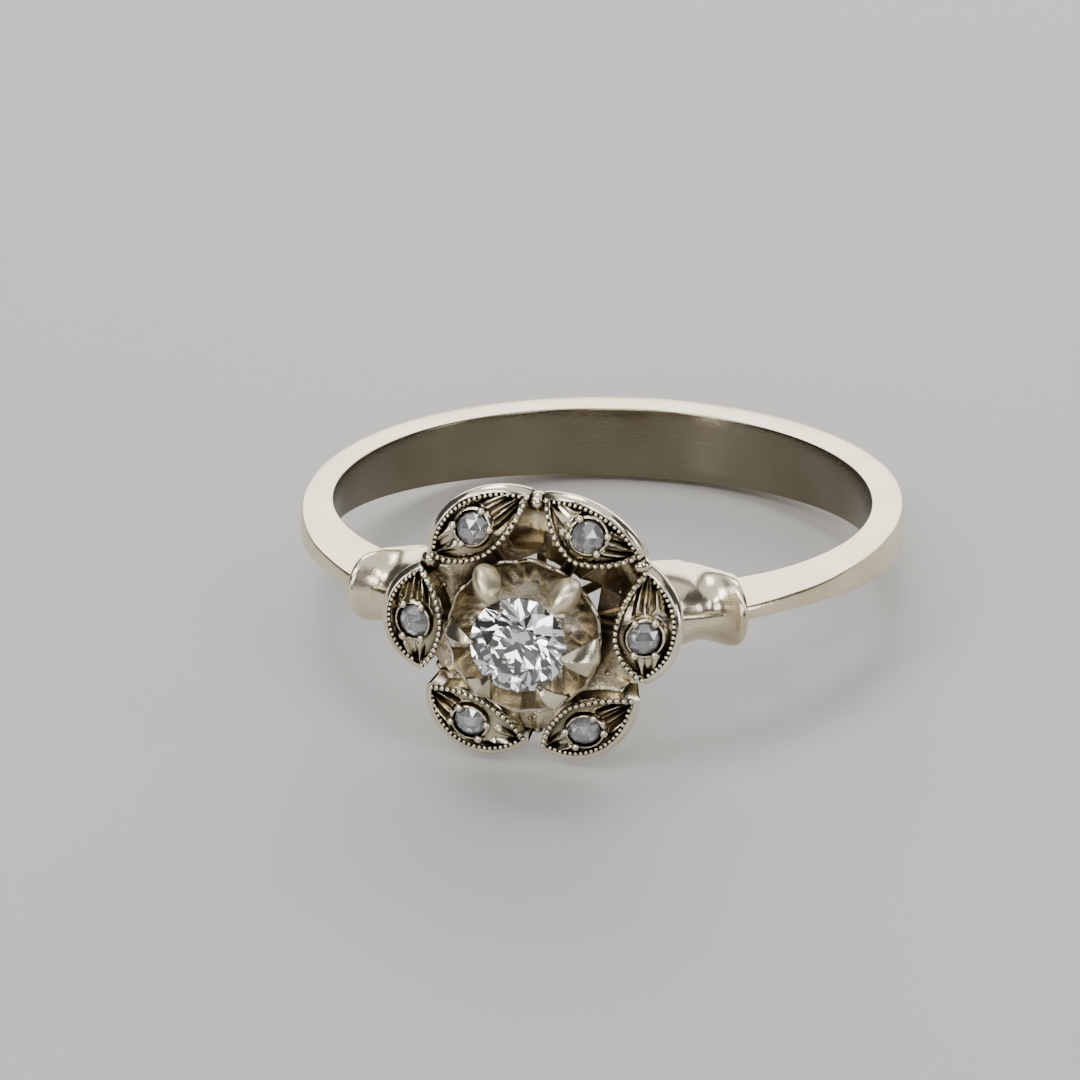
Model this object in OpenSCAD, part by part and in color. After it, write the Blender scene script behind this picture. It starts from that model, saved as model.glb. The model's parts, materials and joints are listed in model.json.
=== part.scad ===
// Flower ring: a half-round shank that thickens towards the head, two bell
// collars, and a six-petal flower around a claw-set round stone.
// Millimetres.  The ring is drawn lying on its side as it rests on a table:
// on the outer edges of its two lower petals and on the back of the shank.
// Row frame: +X across the flower, +Y from the flower to the back of the
// shank, +Z up, with z = 0 on the table.

/* [Shank] */
// Radius of the finger hole
finger_r = 8.65; // [7.5:0.05:10]
// Half height of the shank's inside edge at the back
shank_half_h = 1.21; // [0.9:0.01:1.5]
// Radius of the shank's outside at the back
shank_back_r = 10.35; // [10.0:0.05:11]
// Sections around the shank
shank_steps = 60; // [48:12:72]

/* [Collars] */
// Angle from the middle of the flower to the right collar's end
collar_right_deg = 34.2; // [32:0.1:36]
// Angle from the middle of the flower to the left collar's end
collar_left_deg = 32.7; // [32:0.1:36]
// Scale of the collars' bell ends
collar_scale = 1.0; // [0.9:0.01:1.05]

/* [Flower] */
// Distance of a petal's outer middle from the flower's axis
petal_reach = 4.64; // [4.4:0.02:4.8]
// Radius of a petal's outer edge
petal_edge_r = 2.47; // [2.4:0.01:2.6]
// Distance of a petal's inner point from the flower's axis
petal_point_r = 2.60; // [2.5:0.01:2.7]
// Radius of a petal's domed top
petal_dome_r = 2.58; // [2.55:0.01:2.62]
// Thickness of a petal's wall
petal_wall = 0.60; // [0.5:0.01:0.65]
// Depth of the sunk field inside a petal's rim
petal_sink = 0.16; // [0.1:0.01:0.2]
// How far the flower sits below the middle of the shank
flower_low = 0.08; // [0:0.01:0.15]

/* [Cup and claws] */
// Radius of the cup's rim
cup_rim_r = 2.36; // [2.2:0.01:2.4]
// Height of the cup's rim above the ring's axis
cup_rim_h = 12.35; // [12.2:0.01:12.5]
// Radius of a claw where it leaves the cup
claw_base_r = 0.36; // [0.3:0.01:0.4]
// Radius of a claw's bead
claw_bead_r = 0.20; // [0.16:0.01:0.24]

/* [Stones] */
// Radius of the centre stone's girdle
stone_r = 1.50; // [1.4:0.01:1.55]
// Height of the centre stone's girdle above the ring's axis
stone_h = 13.15; // [13.0:0.01:13.3]
// Radius of a petal stone
small_r = 0.50; // [0.4:0.01:0.52]
// Distance of a petal stone from the flower's axis
small_reach = 3.62; // [3.5:0.01:3.7]
// Gap between a stone and the metal around it
stone_gap = 0.03; // [0.02:0.005:0.04]

/* [Hidden] */
white_gold = [0.80, 0.77, 0.70];
clear_stone = [0.90, 0.94, 0.97];

// ---- small helpers ------------------------------------------------------
// Smooth value of column c of table t at x: a cubic through the rows.
function seg(t, x, i = 0) = (i >= len(t) - 2 || x <= t[i + 1][0]) ? i : seg(t, x, i + 1);
function slope(t, c, i) = let (a = max(i - 1, 0), b = min(i + 1, len(t) - 1))
    (t[b][c] - t[a][c]) / (t[b][0] - t[a][0]);
function curve(t, c, x) = let (i = seg(t, x), w = t[i + 1][0] - t[i][0], s = (x - t[i][0]) / w)
    (2*s*s*s - 3*s*s + 1) * t[i][c] + (s*s*s - 2*s*s + s) * w * slope(t, c, i)
    + (-2*s*s*s + 3*s*s) * t[i + 1][c] + (s*s*s - s*s) * w * slope(t, c, i + 1);
// Signed power, for rounded-box sections
function spow(x, p) = sign(x) * pow(abs(x), p);
// Point of the ring at angle a from the flower, radius r and height z
function at(a, r, z) = [r * sin(a), -r * cos(a), z];

// ---- shank --------------------------------------------------------------
// angle from the flower, inside half height, outside half height, outside radius
shank_table = [
    [ 22, 0.50, 0.24, 11.05],
    [ 30, 0.50, 0.23, 10.92],
    [ 37, 0.50, 0.24, 10.62],
    [ 45, 0.51, 0.27, 10.30],
    [ 54, 0.54, 0.33, 10.06],
    [ 64, 0.59, 0.44,  9.84],
    [ 76, 0.65, 0.56,  9.69],
    [ 90, 0.74, 0.68,  9.66],
    [105, 0.86, 0.82,  9.75],
    [122, 0.98, 0.95,  9.93],
    [150, 1.12, 1.10, 10.22],
    [180, shank_half_h, 1.19, shank_back_r]];
shank_from = 24;    // the shank's ends run on inside the collars

// Half of a section, from the finger side to the outside middle: [radius, z]
function half_section(a) = let (zi = curve(shank_table, 1, a), zo = curve(shank_table, 2, a),
        ro = curve(shank_table, 3, a), m = finger_r + 0.55 * (ro - finger_r))
    [[finger_r - 0.5, zi * 0.97], [finger_r - 0.25, zi], [m, 0.42 * zi + 0.58 * zo + 0.02],
     [ro - 0.15, zo * 0.985], [ro - 0.04, zo * 0.85], [ro - 0.005, zo * 0.40]];
function section(a) = let (h = half_section(a), n = len(h))
    concat(h, [for (i = [n - 1:-1:0]) [h[i][0], -h[i][1]]]);
// Triangles between rings of n points, with both ends closed
function tube_faces(rings, n) = concat(
    [for (k = [0:rings - 2], i = [0:n - 1]) [k*n + i, (k+1)*n + i, k*n + (i+1) % n]],
    [for (k = [0:rings - 2], i = [0:n - 1]) [k*n + (i+1) % n, (k+1)*n + i, (k+1)*n + (i+1) % n]],
    [[for (i = [0:n - 1]) i]], [[for (i = [n - 1:-1:0]) (rings - 1)*n + i]]);

module shank_blank() {
    span = 360 - 2 * shank_from;
    pts = [for (k = [0:shank_steps]) let (a = shank_from + span * k / shank_steps)
           for (p = section(a <= 180 ? a : 360 - a)) at(a, p[0], p[1])];
    polyhedron(pts, tube_faces(shank_steps + 1, 12), convexity = 6);
}

// ---- collars ------------------------------------------------------------
// The bell's end: distance from the end towards the flower, radius
bell_table = [
    [0.00, 1.08], [0.06, 1.13], [0.16, 1.14], [0.40, 1.12], [0.70, 1.06],
    [1.05, 0.98], [1.40, 0.93], [1.90, 0.91]];
bell_mid_r = 10.28; // radius of the bell's middle from the finger's axis
// Shoulder between bell and flower: radius from the finger's axis, half height
shoulder_table = [
    [finger_r - 0.40, 1.27], [9.25, 1.29], [9.90, 1.17], [10.40, 0.90], [10.72, 0.48], [10.80, 0]];
shoulder_from = 15.5;       // where it starts, under the flower
shoulder_ball_r = 2.20;     // ball that rounds its other end
shoulder_ball_deg = 19.0;
module shoulder(end_deg) {
    last = len(shoulder_table) - 1;
    intersection() {
        rotate([0, 0, shoulder_from - 90]) rotate_extrude(angle = 20, $fn = 180)
            polygon(concat([for (p = shoulder_table) [p[0], -p[1]]],
                           [for (i = [last - 1:-1:0]) shoulder_table[i]]));
        rotate([0, 0, shoulder_ball_deg + end_deg - 33.5]) translate([0, -9.7, 0])
            sphere(r = shoulder_ball_r, $fn = 96);
    }
}
module bell(end_deg) {
    rotate(end_deg) translate([0, -bell_mid_r, 0]) rotate([0, -90, 0])
        rotate_extrude($fn = 96) polygon(concat([[0, 0]],
            [for (s = [0, 0.03, 0.06, 0.11, 0.18, 0.3, 0.45, 0.65, 0.85, 1.05, 1.25, 1.5, 1.9])
                [curve(bell_table, 1, s) * collar_scale, s]], [[0, 1.9]]));
}
module collar(side, end_deg) mirror([side < 0 ? 1 : 0, 0, 0]) {
    shoulder(end_deg);
    bell(end_deg);
}

// ---- flower, drawn looking down its own axis: x across, y up, z outwards --
petal_centre = petal_reach - petal_edge_r;  // centre of the outer edge's arc
dome_x = 2.87;                              // centre of the domed top
dome_z = 9.33;
rim_w = 0.24;                               // width of the raised rim
tip_x = 3.72;                               // where outer and inner edges meet
tip_y = sqrt(pow(petal_edge_r, 2) - pow(tip_x - petal_centre, 2));

// Leaf outline, drawn in by d: an outer arc and two inner edges to a point
module leaf(d = 0) {
    slant = atan2(tip_y, tip_x - petal_point_r);
    intersection() {
        translate([petal_centre, 0]) circle(r = petal_edge_r - d, $fn = 96);
        translate([petal_point_r + d / sin(slant), 0])
            polygon([[0, 0], [4 * cos(slant), -4 * sin(slant)], [4 * cos(slant), 4 * sin(slant)]]);
    }
}
module petal() {
    difference() {
        intersection() {
            translate([0, 0, dome_z]) linear_extrude(4) leaf();
            difference() {
                translate([dome_x, 0, dome_z]) sphere(r = petal_dome_r, $fn = 96);
                translate([dome_x, 0, dome_z]) sphere(r = petal_dome_r - petal_wall, $fn = 96);
            }
        }
        // sunk field inside the rim
        difference() {
            translate([0, 0, dome_z + 0.4]) linear_extrude(4) leaf(rim_w);
            translate([dome_x, 0, dome_z]) sphere(r = petal_dome_r - petal_sink, $fn = 96);
            // the setting's boss and two ribs that run to the tips stay up
            translate([small_reach, 0, dome_z]) cylinder(r = small_r + 0.16, h = 4, $fn = 48);
            translate([small_reach - 0.09, -3, dome_z]) cube([0.12, 6, 4]);
        }
        // seat of the stone
        small_seat() translate([0, 0, -stone_gap]) cylinder(r = small_r + stone_gap, h = 2, $fn = 48);
    }
    // four grains that hold the stone
    small_seat() for (a = [45:90:315]) rotate(a) translate([small_r + 0.10, 0, 0.15])
        sphere(r = 0.12, $fn = 24);
}
// Frame of a petal stone: its middle is on the petal's dome, tilted with it
seat_lean = asin((small_reach - dome_x) / petal_dome_r);
seat_drop = 0.24;
module small_seat() {
    translate([dome_x, 0, dome_z]) rotate([0, seat_lean, 0])
        translate([0, 0, petal_dome_r - seat_drop]) children();
}

// Cup: a funnel with a scalloped rim
module cup() {
    difference() {
        rotate_extrude($fn = 96) polygon([
            [0, 9.55], [0.85, 9.55], [1.05, 9.9], [1.22, 10.6], [1.55, 11.3],
            [2.02, 11.95], [cup_rim_r, cup_rim_h], [cup_rim_r - 0.2, cup_rim_h + 0.06],
            [1.75, 11.95], [1.25, 11.35], [0.7, 10.95], [0, 10.85]]);
        for (a = [0:20:340]) rotate(a + 10) translate([cup_rim_r - 0.1, 0, cup_rim_h + 0.12])
            sphere(r = 0.17, $fn = 24);
    }
}
// Claws, at the angles where they stand around the stone
claw_angles = [-12, 50, 120, 180, 232, 297];
module claw() {
    // from the rim inwards and up to the bead at the stone's edge
    x0 = 2.14; z0 = 12.15; x1 = stone_r + 0.08; z1 = stone_h + 0.16;
    lean = atan2(x0 - x1, z1 - z0);
    len_ = sqrt(pow(x0 - x1, 2) + pow(z1 - z0, 2));
    translate([x0, 0, z0]) rotate([0, -lean, 0])
        cylinder(r1 = claw_base_r, r2 = claw_bead_r * 0.85, h = len_, $fn = 32);
    translate([x1, 0, z1]) sphere(r = claw_bead_r, $fn = 32);
}
// Gallery: a ring behind the petals that the collars are soldered to, six
// posts up to where the petals' tips meet, six webs that close the space
// between two petals, and six bars to the cup.
// A web's section: distance from the flower's axis, height
web_table = [[2.40, 10.30], [2.40, 10.78], [2.60, 10.86], [3.40, 10.88],
             [3.84, 10.80], [3.84, 10.25], [2.95, 10.16]];
web_deg = 36;
gallery_in = 2.55;
gallery_out = 3.10;
module gallery() {
    translate([0, 0, 9.30]) difference() {
        cylinder(r = gallery_out, h = 0.62, $fn = 96);
        translate([0, 0, -1]) cylinder(r = gallery_in, h = 3, $fn = 96);
    }
    for (a = [30:60:330]) rotate(a) {
        // post
        translate([2.82, 0, 9.5]) rotate([0, atan2(3.92 - 2.82, 10.62 - 9.5), 0])
            cylinder(r1 = 0.32, r2 = 0.40, h = 1.57, $fn = 32);
        // the solder that joins two petals' tips
        translate([3.92, 0, 10.62]) sphere(r = 0.44, $fn = 32);
    }
    for (a = [30:60:330]) rotate(a - web_deg / 2)
        rotate_extrude(angle = web_deg, $fn = 96) polygon(web_table);
    for (a = [0:60:300]) rotate(a)
        translate([1.1, 0, 10.30]) rotate([0, atan2(2.1, 0.60), 0])
            cylinder(r = 0.24, h = 2.2, $fn = 32);
    // bars from the cup's foot to the ring
    for (a = [30:60:330]) rotate(a) translate([0.6, 0, 9.72]) rotate([0, 90, 0])
        cylinder(r = 0.16, h = 2.1, $fn = 24);
}
// Room cut for the centre stone, a gap wider all round
module centre_room() {
    g = stone_gap;
    translate([0, 0, stone_h]) {
        translate([0, 0, -0.03 - g]) cylinder(r = stone_r + g, h = 0.06 + 2 * g, $fn = 96);
        translate([0, 0, 0.03 + g]) cylinder(r1 = stone_r + g, r2 = stone_r * 0.56 + g, h = 0.52, $fn = 96);
        translate([0, 0, 0.03]) cylinder(r = stone_r * 0.56 + g, h = 1.2, $fn = 96);
        translate([0, 0, -0.03 - g - 1.28]) cylinder(r1 = 0.05 + g, r2 = stone_r + g, h = 1.28, $fn = 96);
    }
}

// Round brilliant, cut with its table, stars, kites, halves, girdle and mains.
// Kites and mains are flat, so the star and main points lie in their planes.
function ring_points(n, r, z, turn = 0) = [for (i = [0:n - 1]) let (a = 360 * i / n + turn) [r * cos(a), r * sin(a), z]];
table_r = 0.55 * stone_r;
crown_h = 0.47;
girdle_half = 0.03;
pavilion_h = 1.24;
module brilliant() {
    star_r = 0.80 * stone_r;
    main_r = 0.26 * stone_r;
    star_z = girdle_half + crown_h * (1 - (star_r * cos(22.5) - table_r) / (stone_r - table_r));
    main_z = -girdle_half - pavilion_h * (1 - main_r * cos(22.5) / stone_r);
    // rows of points: table 0-7, stars 8-15, girdle 16-31 and 32-47, mains 48-55, culet 56
    pts = concat(ring_points(8, table_r, girdle_half + crown_h), ring_points(8, star_r, star_z, 22.5),
        ring_points(16, stone_r, girdle_half), ring_points(16, stone_r, -girdle_half),
        ring_points(8, main_r, main_z, 22.5), [[0, 0, -girdle_half - pavilion_h]]);
    polyhedron(pts, concat(
        [[7, 6, 5, 4, 3, 2, 1, 0]],
        [for (k = [0:7]) let (n = (k + 1) % 8) [k, n, 8 + k]],
        [for (k = [0:7]) let (b = (k + 7) % 8) [k, 8 + k, 16 + 2*k]],
        [for (k = [0:7]) let (b = (k + 7) % 8) [k, 16 + 2*k, 8 + b]],
        [for (k = [0:7]) [8 + k, 17 + 2*k, 16 + 2*k]],
        [for (k = [0:7]) [8 + k, 16 + (2*k + 2) % 16, 17 + 2*k]],
        [for (i = [0:15]) [16 + i, 16 + (i + 1) % 16, 32 + i]],
        [for (i = [0:15]) [16 + (i + 1) % 16, 32 + (i + 1) % 16, 32 + i]],
        [for (k = [0:7]) [32 + 2*k, 33 + 2*k, 48 + k]],
        [for (k = [0:7]) [33 + 2*k, 32 + (2*k + 2) % 16, 48 + k]],
        [for (k = [0:7]) [32 + 2*k, 48 + k, 56]],
        [for (k = [0:7]) [32 + 2*k, 56, 48 + (k + 7) % 8]]));
}
// Rose-cut stone: flat back, low dome of facets
module rose_cut() {
    // rows of points: back 0-11, edge 12-23, shoulder 24-29, top 30
    pts = concat(ring_points(12, small_r, 0), ring_points(12, small_r, 0.06),
        ring_points(6, 0.62 * small_r, 0.24), [[0, 0, 0.33]]);
    polyhedron(pts, concat(
        [[for (i = [0:11]) i]],
        [for (i = [0:11]) [i, 12 + i, (i + 1) % 12]],
        [for (i = [0:11]) [(i + 1) % 12, 12 + i, 12 + (i + 1) % 12]],
        [for (i = [0:5]) [12 + 2*i, 24 + i, 13 + 2*i]],
        [for (i = [0:5]) [13 + 2*i, 24 + i, 24 + (i + 1) % 6]],
        [for (i = [0:5]) [13 + 2*i, 24 + (i + 1) % 6, 12 + (2*i + 2) % 12]],
        [for (i = [0:5]) [24 + i, 30, 24 + (i + 1) % 6]]));
}

// ---- rest pose ----------------------------------------------------------
// Lowest point of a lower petal and of the shank's back when the ring leans
// back by t: the ring lies where the two are level.
petal_low = [for (a = [-50:2:50], inner = [0, 1]) let (
        x = petal_centre + petal_edge_r * cos(a), y = petal_edge_r * sin(a),
        d2 = pow(x - dome_x, 2) + y * y, r = inner == 1 ? petal_dome_r - petal_wall : petal_dome_r,
        h = dome_z + sqrt(max(r * r - d2, 0)))
    [x * sin(-60) + y * cos(-60) - flower_low, h]];
shank_low = [for (p = half_section(180)) [-p[1], -p[0]]];
function low(t, pts) = min([for (p = pts) p[0] * cos(t) + p[1] * sin(t)]);
function level(a, b, n) = let (t = (a + b) / 2) n == 0 ? t
    : low(t, petal_low) < low(t, shank_low) ? level(t, b, n - 1) : level(a, t, n - 1);
tilt = level(0, 20, 30);
drop = min(low(tilt, petal_low), low(tilt, shank_low));
table_h = stone_h + girdle_half + crown_h;
front_y = -(table_h * cos(tilt) + (table_r + flower_low) * sin(tilt));
back_y = max([for (p = half_section(180)) p[0] * cos(tilt) + p[1] * sin(tilt)]);
mid_y = (front_y + back_y) / 2;
module rest() translate([0, -mid_y, -drop]) rotate([-tilt, 0, 0]) children();
module facing() translate([0, 0, -flower_low]) rotate([90, 0, 0]) children();

// ---- the pieces ---------------------------------------------------------
module shank_and_flower() color(white_gold) rest() difference() {
    union() {
        shank_blank();
        collar(1, collar_right_deg);
        collar(-1, collar_left_deg);
        facing() {
            gallery();
            cup();
            for (a = claw_angles) rotate(a) claw();
            for (a = [0:60:300]) rotate(a) petal();
        }
    }
    cylinder(r = finger_r, h = 12, center = true, $fn = 180);
    facing() centre_room();
    facing() for (a = [0:60:300]) rotate(a) small_seat()
        translate([0, 0, -stone_gap]) cylinder(r = small_r + stone_gap, h = 0.12, $fn = 48);
}
module centre_stone() color(clear_stone) rest() facing() translate([0, 0, stone_h]) brilliant();
module petal_stone(i) color(clear_stone) rest() facing() rotate(60 * (i - 1)) small_seat() rose_cut();
module petal_stone_1() petal_stone(1);
module petal_stone_2() petal_stone(2);
module petal_stone_3() petal_stone(3);
module petal_stone_4() petal_stone(4);
module petal_stone_5() petal_stone(5);
module petal_stone_6() petal_stone(6);

shank_and_flower();
centre_stone();
petal_stone_1();
petal_stone_2();
petal_stone_3();
petal_stone_4();
petal_stone_5();
petal_stone_6();
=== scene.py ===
# Looks of the flower ring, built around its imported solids.
# Ring frame: millimetres, z along the finger hole's axis, the flower towards -y.
# Flower frame: x across, y up (the ring's z), h outwards from the finger's axis.
import json
import math

import bmesh
import bpy
import numpy as np
from mathutils import Matrix

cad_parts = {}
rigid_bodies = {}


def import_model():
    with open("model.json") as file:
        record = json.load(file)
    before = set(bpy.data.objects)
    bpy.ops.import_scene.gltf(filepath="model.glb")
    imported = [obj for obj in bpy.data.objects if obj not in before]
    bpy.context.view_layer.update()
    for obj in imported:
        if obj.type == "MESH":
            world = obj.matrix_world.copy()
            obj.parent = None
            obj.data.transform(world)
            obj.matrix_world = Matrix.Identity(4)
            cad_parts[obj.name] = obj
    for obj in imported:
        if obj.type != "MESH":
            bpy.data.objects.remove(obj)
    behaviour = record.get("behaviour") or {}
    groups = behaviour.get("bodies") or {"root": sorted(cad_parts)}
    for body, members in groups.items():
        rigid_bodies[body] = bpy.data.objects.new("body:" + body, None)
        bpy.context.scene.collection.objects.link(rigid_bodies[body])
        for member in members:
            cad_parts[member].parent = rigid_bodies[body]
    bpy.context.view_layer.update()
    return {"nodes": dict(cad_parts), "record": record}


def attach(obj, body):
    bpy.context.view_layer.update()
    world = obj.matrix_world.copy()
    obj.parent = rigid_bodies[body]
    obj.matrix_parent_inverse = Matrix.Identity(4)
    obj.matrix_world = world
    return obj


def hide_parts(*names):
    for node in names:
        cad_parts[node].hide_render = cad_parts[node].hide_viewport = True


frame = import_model()

for o in list(bpy.data.objects):
    if o.type in ("LIGHT", "CAMERA"):
        bpy.data.objects.remove(o)

bore = [m for m in frame["record"]["mounts"] if m["name"] == "finger_bore"][0]
CENTRE = np.array(bore["pos_m"], float)
TILT = math.atan2(bore["axis"][1], bore["axis"][2])
CT, ST = math.cos(TILT), math.sin(TILT)
FINGER_R = 8.65
FLOWER_LOW = 0.08


# ---- frames ---------------------------------------------------------------
def turn_row(p):
    p = np.asarray(p, float)
    return np.stack(
        [p[..., 0], CT * p[..., 1] + ST * p[..., 2], -ST * p[..., 1] + CT * p[..., 2]], -1
    )


def ring_to_row(p):
    return turn_row(p) * 0.001 + CENTRE


def flower_to_row(p):
    p = np.asarray(p, float)
    return ring_to_row(np.stack([p[..., 0], -p[..., 2], p[..., 1] - FLOWER_LOW], -1))


def polar(a_deg, r, z):
    a = np.radians(a_deg)
    return np.stack(np.broadcast_arrays(r * np.sin(a), -r * np.cos(a), z), -1)


def spin(p, deg):
    """Turns flower-frame points about the flower's axis."""
    a = math.radians(deg)
    c, s = math.cos(a), math.sin(a)
    p = np.asarray(p, float)
    return np.stack([c * p[..., 0] - s * p[..., 1], s * p[..., 0] + c * p[..., 1], p[..., 2]], -1)


def table(rows, x, col):
    t = np.array(rows, float)
    xs, ys = t[:, 0], t[:, col]
    x = np.clip(np.asarray(x, float), xs[0], xs[-1])
    m = np.gradient(ys, xs)
    i = np.clip(np.searchsorted(xs, x, side="right") - 1, 0, len(xs) - 2)
    w = xs[i + 1] - xs[i]
    s = (x - xs[i]) / w
    return (
        (2 * s**3 - 3 * s**2 + 1) * ys[i]
        + (s**3 - 2 * s**2 + s) * w * m[i]
        + (-2 * s**3 + 3 * s**2) * ys[i + 1]
        + (s**3 - s**2) * w * m[i + 1]
    )


def smooth(x, a, b):
    t = np.clip((x - a) / (b - a), 0, 1)
    return t * t * (3 - 2 * t)


# ---- meshes ---------------------------------------------------------------
class Shape:
    """Points and faces gathered before they become one object."""

    def __init__(self):
        self.v, self.f, self.n = [], [], 0

    def add(self, pts, faces):
        self.v.append(np.asarray(pts, float).reshape(-1, 3))
        self.f.extend([tuple(int(i) + self.n for i in f) for f in faces])
        self.n += len(self.v[-1])

    def grid(self, p, wrap_u=False, wrap_v=False, cap_start=False, cap_end=False):
        """p[i, j]: rows i run along the piece, j around it."""
        nu, nv = p.shape[:2]
        faces = []
        for i in range(nu if wrap_u else nu - 1):
            a, b = i * nv, ((i + 1) % nu) * nv
            for j in range(nv if wrap_v else nv - 1):
                k = (j + 1) % nv
                faces.append((a + j, a + k, b + k, b + j))
        pts = p.reshape(-1, 3)
        extra = []
        if cap_start:
            c = len(pts) + len(extra)
            extra.append(p[0].mean(0))
            faces += [(c, (j + 1) % nv, j) for j in range(nv)]
        if cap_end:
            c = len(pts) + len(extra)
            extra.append(p[-1].mean(0))
            o = (nu - 1) * nv
            faces += [(c, o + j, o + (j + 1) % nv) for j in range(nv)]
        if extra:
            pts = np.vstack([pts, np.array(extra)])
        self.add(pts, faces)

    def balls(self, centres, radii, squash=None, level=2):
        pts, tris = icosphere(level)
        for k, c in enumerate(np.asarray(centres, float)):
            r = radii if np.isscalar(radii) else radii[k]
            self.add(c + pts * r * (1 if squash is None else squash), tris)


_ico = {}


def icosphere(level):
    if level not in _ico:
        bm = bmesh.new()
        bmesh.ops.create_icosphere(bm, subdivisions=level + 1, radius=1.0)
        _ico[level] = (
            np.array([v.co[:] for v in bm.verts]),
            [tuple(v.index for v in f.verts) for f in bm.faces],
        )
        bm.free()
    return _ico[level]


def row_to_ring(p):
    q = (np.asarray(p, float) - CENTRE) * 1000
    return np.stack([q[:, 0], CT * q[:, 1] - ST * q[:, 2], ST * q[:, 1] + CT * q[:, 2]], -1)


def make(name, shape, to_row, material, sharp_deg=40, merge=0.0004, painted_shade=None):
    pts = to_row(np.vstack(shape.v))
    me = bpy.data.meshes.new(name)
    me.from_pydata(pts.tolist(), [], shape.f)
    bm = bmesh.new()
    bm.from_mesh(me)
    bmesh.ops.remove_doubles(bm, verts=bm.verts, dist=merge * 0.001)
    bmesh.ops.dissolve_degenerate(bm, edges=bm.edges, dist=1e-8)
    bmesh.ops.recalc_face_normals(bm, faces=bm.faces)
    bm.to_mesh(me)
    bm.free()
    me.validate()
    me.polygons.foreach_set("use_smooth", [True] * len(me.polygons))
    me.set_sharp_from_angle(angle=math.radians(sharp_deg))
    # painted shade: a per-vertex factor on the base colour, used for the shank's darkened inner wall
    if painted_shade is not None:
        co = np.empty(len(me.vertices) * 3)
        me.vertices.foreach_get("co", co)
        value = painted_shade(row_to_ring(co.reshape(-1, 3)))
        layer = me.color_attributes.new("painted_shade", "FLOAT_COLOR", "POINT")
        layer.data.foreach_set("color", np.stack([value, value, value, np.ones_like(value)], -1).ravel())
    o = bpy.data.objects.new(name, me)
    bpy.context.scene.collection.objects.link(o)
    o.data.materials.append(material)
    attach(o, "root")
    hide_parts("shank_and_flower")
    return o


# ---- materials ------------------------------------------------------------
def node(tree, kind, **inputs):
    n = tree.nodes.new(kind)
    for k, v in inputs.items():
        setattr(n, k, v)
    return n


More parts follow.
